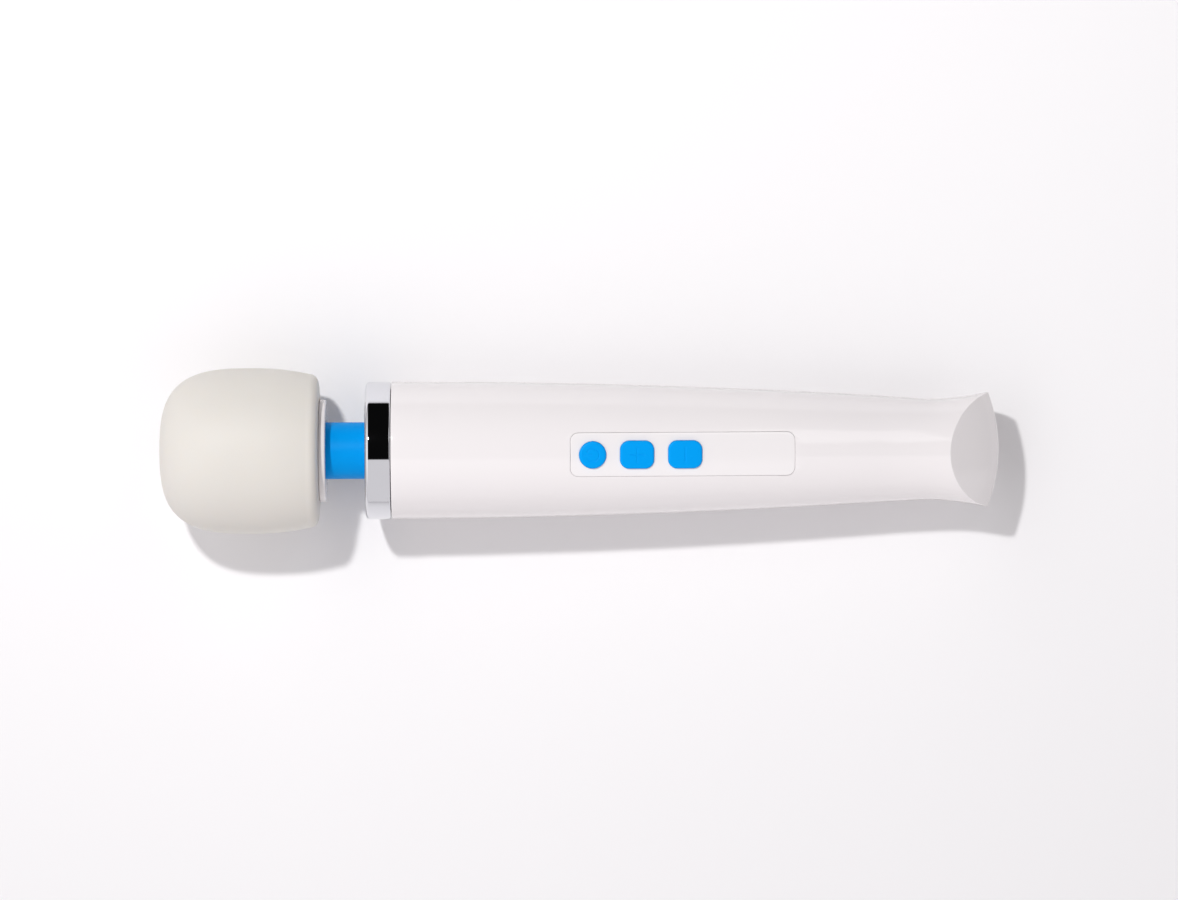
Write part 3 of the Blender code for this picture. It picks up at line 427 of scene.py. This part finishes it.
def halfWidth(stations):
    # a parabolic taper and a flare that starts just before the tail
    form = handleForm
    taper = form["taperDrop"] * (np.maximum(0, stations - form["taperStart"]) / form["taperLength"]) ** 2
    share = np.maximum(0, stations - form["flareStart"]) / form["flareLength"]
    return form["radius"] - taper + form["flareWidth"] * share ** form["widthPower"]


def topHeight(stations):
    form = handleForm
    taper = form["taperDrop"] * (np.maximum(0, stations - form["taperStart"]) / form["taperLength"]) ** 2
    rise = form["topRise"] * (np.maximum(0, stations - form["topStart"]) / form["flareLength"]) ** 2
    return form["radius"] - taper + rise


def bottomDepth(stations):
    form = handleForm
    share = np.maximum(0, stations - form["flareStart"]) / form["flareReach"]
    return halfWidth(np.minimum(stations, form["flareStart"])) + form["flareDepth"] * share ** form["depthPower"]


def floorHeight(stations):
    # where the surface under the wand is, in the wand's own height
    return -(nose[2] + stations * along[2]) / upward[2]


def seamHeight(stations):
    # level with the axis, and a smooth step up to the tail's ridge
    form = handleForm
    share = np.clip((stations - form["riseStart"]) / form["riseLength"], 0, 1)
    return form["seamRise"] * share * share * (3 - 2 * share)


def section(stations, angles, inset):
    # half an ellipse above the seam and half a deeper one below it, flat where it would pass the floor
    seam = seamHeight(stations)
    across = (halfWidth(stations) - inset) * np.cos(angles)
    top = seam + (topHeight(stations) - seam - inset) * np.sin(angles)
    bottom = seam + (bottomDepth(stations) + seam - inset) * np.sin(angles)
    height = np.where(np.sin(angles) >= 0, top, np.maximum(bottom, floorHeight(stations)))
    return across, height


def tailStation(across, height):
    # a ridge bowed from side to side; the face leans back as a power of the height above it, evenly below it
    form = handleForm
    ridge = form["tailTip"] + form["ridgeBulge"] * (1 - (across / form["tailHalf"]) ** 2)
    above = np.maximum(0, height - form["seamRise"]) / mm
    below = np.maximum(0, form["seamRise"] - height)
    return ridge - form["upperLean"] * mm * above ** form["upperCurve"] - form["lowerLean"] * below


def tailEnd(angles, inset, wall):
    # where each line along the handle meets the tail's end, by repeated halving steps
    stations = np.full_like(angles, handleForm["tailTip"])
    for _ in range(shellGrid["halvings"]):
        stations = (stations + tailStation(*section(stations, angles, inset)) - wall) / 2
    return stations


def halfSkin(side, angles, inset, wall):
    # one skin of a half, from its open front along the handle and over the tail's end down to the ridge;
    # at the seam the lower half stands proud of the upper one by a thin lip
    form = handleForm
    lip = form["lip"] if side < 0 else 0.0
    edge = form["edge"] if inset == 0 else 0.0
    ends = tailEnd(angles, inset, wall)
    edgeRows, tailRows = shellGrid["edgeRows"], shellGrid["tailRows"]
    curve = np.linspace(0, turn / 4, edgeRows)
    body = np.linspace(form["front"] + form["edge"], form["tailZone"], shellGrid["bodyRows"])[1:-1]
    straight = np.concatenate([form["front"] + form["edge"] * (1 - np.cos(curve)), body])
    insets = np.zeros((len(straight) + tailRows, 1)) + inset
    insets[:edgeRows, 0] += edge * (1 - np.sin(curve))
    shares = np.sin(np.linspace(0, turn / 4, tailRows))[:, None]
    stations = np.concatenate([np.repeat(straight[:, None], len(angles), axis=1),
                               form["tailZone"] + shares * (ends[None] - form["tailZone"])])
    across, height = section(stations, angles[None] + 0 * stations, insets)
    if side > 0:
        across = across * (1 - form["lip"] / halfWidth(stations))
    seam = seamHeight(stations)
    height = seam + side * np.maximum(side * (height - seam), form["seam"])
    low = form["seamRise"] + side * form["seam"]
    shares = np.linspace(1, 0, shellGrid["faceRows"])[1:, None]
    endAcross = across[-1][None] + 0 * shares
    endHeight = low + shares * (height[-1][None] - low)
    stations[-tailRows:] += lip * np.linspace(0, 1, tailRows)[:, None] ** form["lipPower"]
    return (np.concatenate([stations, tailStation(endAcross, endHeight) - wall + lip]),
            np.concatenate([across, endAcross]), np.concatenate([height, endHeight]))


def makeHalf(name, side, node):
    form = handleForm
    steps = shellGrid["columns"]
    angles = side * np.linspace(0, turn / 2, steps + 1)
    outer = onWand(*halfSkin(side, angles, 0.0, 0.0))
    inner = onWand(*halfSkin(side, angles, form["wall"], form["tailWall"]))
    points = np.concatenate([outer, inner[:, ::-1]], axis=1)
    count = points.shape[1]
    faces = gridFaces(len(points), count, False, True)
    index = np.arange(steps)
    for base in (0, (len(points) - 1) * count):
        strip = np.stack([index, index + 1, count - 2 - index, count - 1 - index], axis=-1) + base
        faces += strip.tolist()
    shell = meshPiece(name, points, faces, finishes["glossWhite"])
    # the line where the body turns into the tail's face gets a small rounding
    corner = outer[-shellGrid["faceRows"], 1:-1]
    places = np.empty(3 * len(shell.data.vertices))
    shell.data.vertices.foreach_get("co", places)
    away = np.linalg.norm(places.reshape(-1, 1, 3) - corner[None], axis=2).min(axis=1)
    group = shell.vertex_groups.new(name="tailCorner")
    group.add(np.nonzero(away < sameGap)[0].tolist(), 1.0, "REPLACE")
    bevel = shell.modifiers.new("tailCorner", "BEVEL")
    bevel.width = form["edge"]
    bevel.segments = form["edgeSegments"]
    bevel.limit_method = "VGROUP"
    bevel.vertex_group = group.name
    applied(shell)
    shell.data.set_sharp_from_angle(angle=math.radians(shellSharp))
    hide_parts(node)
    return shell


# The panel lies on its own plane, square to the way that the buttons travel.
deckUp = -np.array(joints["power_press"]["axis"], float)
deckAlong = np.cross(leftward, deckUp)
panelForm = {"start": 120.8 * mm, "end": 186.7 * mm, "width": 12.8 * mm, "corner": 2.4 * mm, "sink": 0.4 * mm,
             "thick": 1.3 * mm, "crown": 32.0 * mm, "groove": 0.055 * mm, "edge": 0.16 * mm, "soften": 0.14 * mm,
             "leastCorner": 0.05 * mm, "ridge": 0.02 * mm, "arcSteps": 7, "rows": 14, "cornerSteps": 12,
             "sideSteps": 60}
pocketForm = {"seat": 0.3 * mm, "rise": 4 * mm, "holes": (-4 * mm, 3 * mm), "arcSteps": 6, "cornerSteps": 16}
windowForm = {"station": 141.75 * mm, "length": 38.9 * mm, "width": 10.2 * mm, "corner": 2 * mm, "low": -6 * mm}
panelMiddle = (panelForm["start"] + panelForm["end"]) / 2
deckOrigin = onWand(panelMiddle, 0.0, topHeight(np.array(panelMiddle)) - panelForm["sink"])


def onDeck(lengthwise, across, height):
    lengthwise, across, height = np.broadcast_arrays(lengthwise, across, height)
    place = deckOrigin + lengthwise[..., None] * deckAlong
    return place + across[..., None] * leftward + height[..., None] * deckUp


def roundedOutline(length, width, corner, cornerSteps=10, sideSteps=10):
    # a rounded rectangle walked once round, with points along its straight sides too
    points = []
    reach = np.array([length / 2 - corner, width / 2 - corner])
    centres = reach * np.array([(1, 1), (-1, 1), (-1, -1), (1, -1)])
    for quarter in range(4):
        angles = (quarter + np.linspace(0, 1, cornerSteps + 1)) * turn / 4
        ways = np.stack([np.cos(angles), np.sin(angles)], axis=-1)
        points.append(centres[quarter] + corner * ways)
        here = points[-1][-1]
        there = centres[(quarter + 1) % 4] + corner * ways[-1]
        share = np.linspace(0, 1, sideSteps + 1)[1:-1, None]
        points.append(here * (1 - share) + there * share)
    return np.concatenate(points)


def stackPiece(name, outlineAt, rings, middle, shapeHeight, material, body=None):
    # rings of one outline at (inset, scale, height) from the bottom's middle over the side to the top's middle
    flat = np.stack([outlineAt(inset) * scale for inset, scale, _ in rings])
    height = np.array([ring[2] for ring in rings])[:, None]
    height = shapeHeight(flat[..., 0], flat[..., 1], height) if shapeHeight else height + 0 * flat[..., 0]
    points = onDeck(flat[..., 0] + middle, flat[..., 1], height)
    faces = gridFaces(len(rings), flat.shape[1], False, True)
    return meshPiece(name, points, faces, material, body)


def prismCutter(name, outline, low, high, middle):
    rings = [(0, 0.0, low), (0, 1.0, low), (0, 1.0, high), (0, 0.0, high)]
    return stackPiece(name, lambda inset: outline, rings, middle, None, None)


def crownDrop(across):
    # how far the crowned panel lies below its middle line
    return panelForm["crown"] - np.sqrt(panelForm["crown"] ** 2 - across**2)


# The power button is round: its corners are a hair under half its width, so that no side shrinks to nothing.
buttonForm = {"power": {"station": 127.3 * mm, "length": 8.0 * mm, "width": 8.0 * mm, "corner": 3.9999 * mm},
              "plus": {"station": 140.3 * mm, "length": 10.0 * mm, "width": 8.2 * mm, "corner": 2.7 * mm},
              "minus": {"station": 154.4 * mm, "length": 10.0 * mm, "width": 8.2 * mm, "corner": 2.7 * mm}}
buttonLook = {"proud": 0.7 * mm, "fillet": 0.55 * mm, "dome": 0.12 * mm, "glyphDepth": 0.10 * mm,
              "glyphHalf": 0.26 * mm, "glyphReach": 2.1 * mm, "glyphSoft": 0.14 * mm, "ring": 1.9 * mm,
              "gap": math.radians(32), "barMiddle": 1.6 * mm, "barHalf": 1.1 * mm, "low": -1.55 * mm,
              "skirt": -0.4 * mm, "leastCorner": 0.2 * mm, "topRings": 43, "arcSteps": 7, "cornerSteps": 14,
              "sideSteps": 16}


def glyphDistance(kind, x, y):
    # distance to the strokes of the generic sign on each button
    look = buttonLook
    reach = look["glyphReach"]
    if kind == "minus":
        return np.hypot(x, np.maximum(0, np.abs(y) - reach))
    if kind == "plus":
        return np.minimum(np.hypot(x, np.maximum(0, np.abs(y) - reach)),
                          np.hypot(y, np.maximum(0, np.abs(x) - reach)))
    ring = np.abs(np.hypot(x, y) - look["ring"])
    gap = np.abs(np.arctan2(y, -x)) < look["gap"]
    bar = np.hypot(y, np.maximum(0, np.abs(x + look["barMiddle"]) - look["barHalf"]))
    return np.minimum(np.where(gap, 1.0, ring), bar)


def makeButton(kind):
    form, look = buttonForm[kind], buttonLook
    fillet, proud = look["fillet"], look["proud"]
    arcs = np.linspace(0, turn / 4, look["arcSteps"])

    def outlineAt(inset):
        return roundedOutline(form["length"] - 2 * inset, form["width"] - 2 * inset,
                              max(look["leastCorner"], form["corner"] - inset), look["cornerSteps"],
                              look["sideSteps"])

    rings = [(0, 0.0, look["low"]), (0, 1.0, look["low"]), (0, 1.0, look["skirt"])]
    rings += [(fillet * (1 - math.cos(a)), 1.0, proud - fillet * (1 - math.sin(a))) for a in arcs]
    rings += [(fillet, scale, proud) for scale in np.linspace(1, 0, look["topRings"] + 1)[1:]]
    tops = len(rings) - look["topRings"]

    def shapeHeight(x, y, height):
        height = np.repeat(height, x.shape[1], axis=1)
        spread = np.hypot(x / form["length"], y / form["width"]) * 2
        dome = look["dome"] * (1 - np.minimum(1, spread) ** 2)
        groove = np.clip((glyphDistance(kind, x, y) - look["glyphHalf"]) / look["glyphSoft"], -1, 0)
        sunk = look["glyphDepth"] * (groove * groove * (3 + 2 * groove))
        rise = np.where(np.arange(len(height))[:, None] >= tops, dome - sunk, 0.0)
        return height + rise

    button = stackPiece(f"{kind}Button", outlineAt, rings, form["station"] - panelMiddle, shapeHeight,
                        finishes["blueSilicone"], f"{kind}_key")
    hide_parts(f"{kind}_button")


def shellAbove(lengthwise, across):
    # height of the round shell over the panel's plane
    stations = panelMiddle + lengthwise
    radius = topHeight(stations)
    rise = radius - topHeight(np.array(panelMiddle))
    lean = float(np.arcsin(np.clip(deckAlong @ upward, -1, 1)))
    return panelForm["sink"] + rise - lengthwise * math.tan(lean) - (radius - np.sqrt(radius**2 - across**2))


def pocketCutter():
    # the panel's outline, widening in a quarter round where it comes out of the shell
    form = panelForm
    soften, low, high = form["soften"], -form["thick"] - pocketForm["seat"], pocketForm["rise"]
    arcs = np.linspace(0, turn / 4, pocketForm["arcSteps"])
    grown = [(0.0, 0.0, low, 0.0), (0.0, 1.0, low, 0.0)]
    grown += [(soften * (1 - math.cos(a)), 1.0, -soften * (1 - math.sin(a)), 1.0) for a in arcs]
    grown += [(soften, 1.0, high, 0.0), (soften, 0.0, high, 0.0)]
    length = form["end"] - form["start"] + 2 * form["groove"]
    flat = np.stack([roundedOutline(length + 2 * grow, form["width"] + 2 * form["groove"] + 2 * grow,
                                    form["corner"] + form["groove"] + grow, pocketForm["cornerSteps"],
                                    form["sideSteps"]) * scale
                     for grow, scale, _, _ in grown])
    follow = np.array([row[3] for row in grown])[:, None]
    height = np.array([row[2] for row in grown])[:, None] + follow * shellAbove(flat[..., 0], flat[..., 1])
    points = onDeck(flat[..., 0], flat[..., 1], height)
    return meshPiece("pocket", points, gridFaces(len(grown), flat.shape[1], False, True), None)


def makePanel():
    form = panelForm
    length, edge = form["end"] - form["start"], form["edge"]
    arcs = np.linspace(0, turn / 4, form["arcSteps"])

    def outlineAt(inset):
        return roundedOutline(length - 2 * inset, form["width"] - 2 * inset,
                              max(form["leastCorner"], form["corner"] - inset), form["cornerSteps"],
                              form["sideSteps"])

    half = form["width"] / 2
    insets = np.linspace(edge, half - form["ridge"], form["rows"])[1:]
    rings = [(0, 0.0, -form["thick"]), (0, 1.0, -form["thick"]), (0, 1.0, -edge)]
    rings += [(edge * (1 - math.cos(a)), 1.0, -edge * (1 - math.sin(a))) for a in arcs]
    rings += [(inset, 1.0, 0.0) for inset in insets]
    rings += [(insets[-1], np.array([1.0, 0.0]), 0.0)]  # the last ring folds flat onto the middle line

    def shapeHeight(x, y, height):
        sunk = np.where(height > -form["thick"] + sameGap, crownDrop(y), 0.0)
        return height - sunk

    panel = stackPiece("controlPanel", outlineAt, rings, 0.0, shapeHeight, finishes["panelWhite"])
    cutters = []
    for kind, shape in buttonForm.items():
        grow = 2 * form["groove"]
        outline = roundedOutline(shape["length"] + grow, shape["width"] + grow, shape["corner"] + form["groove"])
        cutters.append(prismCutter(f"{kind}Hole", outline, *pocketForm["holes"], shape["station"] - panelMiddle))
    cutBy(panel, cutters)
    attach(panel, "handle")
    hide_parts("control_panel")


undersideForm = {"screws": ((117.5 * mm, 9.0 * mm), (199.0 * mm, 6.0 * mm)), "seat": 2.6 * mm, "plug": 2.45 * mm,
                 "boreLow": -24 * mm, "boreTop": -9.6 * mm, "plugTop": -12.1 * mm, "plugRound": 0.3 * mm,
                 "plugCrown": 0.25 * mm, "pads": (214.0 * mm, 3.0 * mm), "padHole": 1.9 * mm, "pad": 1.6 * mm,
                 "padBoreLow": -20 * mm, "padBoreTop": -10 * mm, "padTop": -9.4 * mm, "padFace": -15.1 * mm,
                 "padCrown": 0.02 * mm, "padRound": 0.2 * mm}


def uprightPiece(name, profile, station, across, material, body=None, steps=48):
    # a profile of (radius, height) carried round a line square to the wand's axis
    profile = np.array(profile, float)
    angles = np.linspace(0, turn, steps, endpoint=False)
    x = profile[None, :, 0] * np.cos(angles)[:, None]
    y = profile[None, :, 0] * np.sin(angles)[:, None]
    points = onWand(station + x, across + y, profile[None, :, 1] + 0 * x)
    return meshPiece(name, points, gridFaces(steps, len(profile), True, False), material, body)


def borePath(radius, low, top):
    return [(0, low), (radius, low), (radius, top), (0, top)]


def plugPath(radius, top, face, crown, rounding):
    # a pin with a rounded rim and a faintly crowned face that points down
    corners = [(0, top), (radius, top), (radius, face), (0, face - crown)]
    return roundedPath(corners, [0, 0, rounding, 0], closed=False)


def makeUnderside():
    form = undersideForm
    cutters = []
    for station, across in form["screws"]:
        depth = float(np.sqrt(halfWidth(np.array(station)) ** 2 - (across + form["plug"]) ** 2))
        place = "Front" if station < panelMiddle else "Rear"
        bore = borePath(form["seat"], form["boreLow"], form["boreTop"])
        shape = plugPath(form["plug"], form["plugTop"], -depth, form["plugCrown"], form["plugRound"])
        for side, word in ((1, "Left"), (-1, "Right")):
            cutters.append(uprightPiece(f"seat{place}{word}", bore, station, side * across, None))
            plug = uprightPiece(f"screwPlug{place}{word}", shape, station, side * across,
                                finishes["whiteRubber"], "handle")
    station, across = form["pads"]
    bore = borePath(form["padHole"], form["padBoreLow"], form["padBoreTop"])
    shape = plugPath(form["pad"], form["padTop"], form["padFace"], form["padCrown"], form["padRound"])
    for side, word in ((1, "left"), (-1, "right")):
        cutters.append(uprightPiece(f"{word}PadHole", bore, station, side * across, None))
        pad = uprightPiece(f"chargePad{word.title()}", shape, station, side * across,
                           finishes["goldFlash"], "handle")
        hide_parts(f"charge_contact_{word}")
    return cutters


def makeHandle():
    form = windowForm
    top = makeHalf("topShell", 1, "top_shell")
    window = roundedOutline(form["length"], form["width"], form["corner"])
    hole = prismCutter("window", window, form["low"], 0.0, form["station"] - panelMiddle)
    cutBy(top, [pocketCutter(), hole], shellSharp)
    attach(top, "handle")
    bottom = makeHalf("bottomShell", -1, "bottom_shell")
    cutBy(bottom, makeUnderside(), shellSharp)
    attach(bottom, "handle")
    makePanel()
    for kind in buttonForm:
        makeButton(kind)


innerFinishes = {
    "greyNylon": ("head_cup", "bearing_bridge", "neck_guide_ring", "sleeve_clamp_ring", "motor_mount",
                  "battery_cradle", "power_plunger", "plus_plunger", "minus_plunger", "power_switch",
                  "plus_switch", "minus_switch"),
    "platedSteel": ("front_bearing_outer", "rear_bearing_outer", "front_bearing_inner", "rear_bearing_inner",
                    "head_shaft", "head_hub", "motor_screw_left", "motor_screw_right",
                    "motor_can", "motor_shaft", "armature", "motor_hub", "board_screw_front",
                    "board_screw_rear", "shell_screw_front_left", "shell_screw_front_right",
                    "shell_screw_rear_left", "shell_screw_rear_right"),
    "turnedBrass": ("eccentric_weight", "motor_bush", "commutator"),
    "ferrite": ("motor_magnet_upper", "motor_magnet_lower"),
    "blackRubber": ("motor_end_bell", "motor_damper", "controller_chip"),
    "circuitBoard": ("control_board", "charge_board"),
    "cellWrap": ("battery_cell",),
    "redWire": ("motor_lead_red", "battery_lead_red"),
    "blackWire": ("motor_lead_black", "battery_lead_black"),
}


def finishInside():
    for finish, names in innerFinishes.items():
        for name in names:
            node = frame["nodes"][name]
            node.data.materials.clear()
            node.data.materials.append(finishes[finish])


studio = {"frameWidth": 349.5 * mm, "distance": 1.25, "lookAt": (2.75 * mm, -0.12 * mm, 21.0 * mm),
          "roll": math.radians(4.4), "yaw": math.radians(-0.08), "sensor": 36.0, "clip": (0.05, 20.0),
          "floorHalf": 3.0, "skyColour": (1.0, 0.972, 0.99, 1.0)}
paperLook = {"colour": "#F2F1F2", "shade": "#F0EFF0", "blotch": 200 * mm, "grain": 1.5 * mm,
             "rough": (0.7, 0.8), "bump": 0.0, "depth": 0.01 * mm}


def makeCamera():
    lens = bpy.data.cameras.new("camera")
    camera = bpy.data.objects.new("camera", lens)
    bpy.context.scene.collection.objects.link(camera)
    lens.sensor_width = studio["sensor"]
    lens.lens = studio["sensor"] * studio["distance"] / studio["frameWidth"]
    target = Vector(studio["lookAt"])
    away = Vector((0.0, math.sin(studio["roll"]), math.cos(studio["roll"])))
    camera.location = target + away * studio["distance"]
    tilt = Matrix.Rotation(-studio["roll"], 4, "X")
    camera.rotation_euler = (tilt @ Matrix.Rotation(studio["yaw"], 4, "Z")).to_euler()
    lens.clip_start, lens.clip_end = studio["clip"]
    bpy.context.scene.camera = camera


def areaLight(name, place, aim, size, power, mirrored=True):
    light = bpy.data.lights.new(name, "AREA")
    light.shape = "RECTANGLE"
    light.size, light.size_y = size
    light.energy = power
    lamp = bpy.data.objects.new(name, light)
    bpy.context.scene.collection.objects.link(lamp)
    lamp.location = place
    lamp.rotation_euler = (Vector(aim) - Vector(place)).to_track_quat("-Z", "Y").to_euler()
    lamp.visible_glossy = mirrored


studioLights = {
    "key": {"place": (-0.25, 0.37, 0.83), "aim": (0, 0, 0), "size": (0.045, 0.045), "power": 4.7},
    "fill": {"place": (-0.25, -0.9, 0.8), "aim": (0, -0.1, 0), "size": (0.9, 0.5), "power": 0.2,
             "mirrored": False},
    "strip": {"place": (0.26, 0.50, 0.86), "aim": (0.06, 0, 0.02), "size": (0.22, 0.46), "power": 0.44},
}
sky = {"front": (0.82, 0.82), "left": (0.42, 1.5), "right": (0.1, 0.72), "dark": 0.004, "side": (0.25, 0.45),
       "near": (0.165, 0.205)}


def makeSky():
    # white walls to the left and in front, a greyer one to the right, and a dark slot overhead and behind
    world = bpy.data.worlds.new("studio")
    bpy.context.scene.world = world
    world.use_nodes = True
    tree = world.node_tree
    way = addNode(tree, "ShaderNodeTexCoord").outputs["Generated"]
    parts = addNode(tree, "ShaderNodeSeparateXYZ", links={"Vector": way})
    level = None
    walls = (("X", 1, sky["side"], sky["right"]), ("X", -1, sky["side"], sky["left"]),
             ("Y", -1, sky["near"], sky["front"]))
    for axis, sign, reach, (low, high) in walls:
        # each wall grows brighter from its foot to its top
        bright = addNode(tree, "ShaderNodeMapRange", inputs={"To Min": low, "To Max": high},
                         links={"Value": parts.outputs["Z"]}).outputs[0]
        wall = addNode(tree, "ShaderNodeMapRange", {"interpolation_type": "SMOOTHSTEP"},
                       {"From Min": sign * reach[0], "From Max": sign * reach[1], "To Min": sky["dark"]},
                       {"Value": parts.outputs[axis], "To Max": bright}).outputs[0]
        level = wall if level is None else addNode(tree, "ShaderNodeMath", {"operation": "MAXIMUM"},
                                                   links={0: level, 1: wall}).outputs[0]
    tree.links.new(level, tree.nodes["Background"].inputs["Strength"])
    tree.nodes["Background"].inputs["Color"].default_value = studio["skyColour"]


def makeStudio():
    # Matte studio paper: white, with no shine and hardly any tooth
    paper = surfaceMaterial("whitePaperSweep", paperLook)
    floorPoints = studio["floorHalf"] * np.array([(-1, -1, 0), (1, -1, 0), (1, 1, 0), (-1, 1, 0)], float)
    floor = meshPiece("floor", floorPoints, [(0, 1, 2, 3)], paper, outward=False)
    makeSky()
    for name, light in studioLights.items():
        areaLight(name, **light)
    bpy.context.scene.view_settings.view_transform = "Standard"


makeCamera()
makeStudio()
print("studio ready")
makeHead()
makeNeck()
makeSpring()
makeCollar()
print("head, neck and collar made")
makeHandle()
print("handle, panel and buttons made")
finishInside()
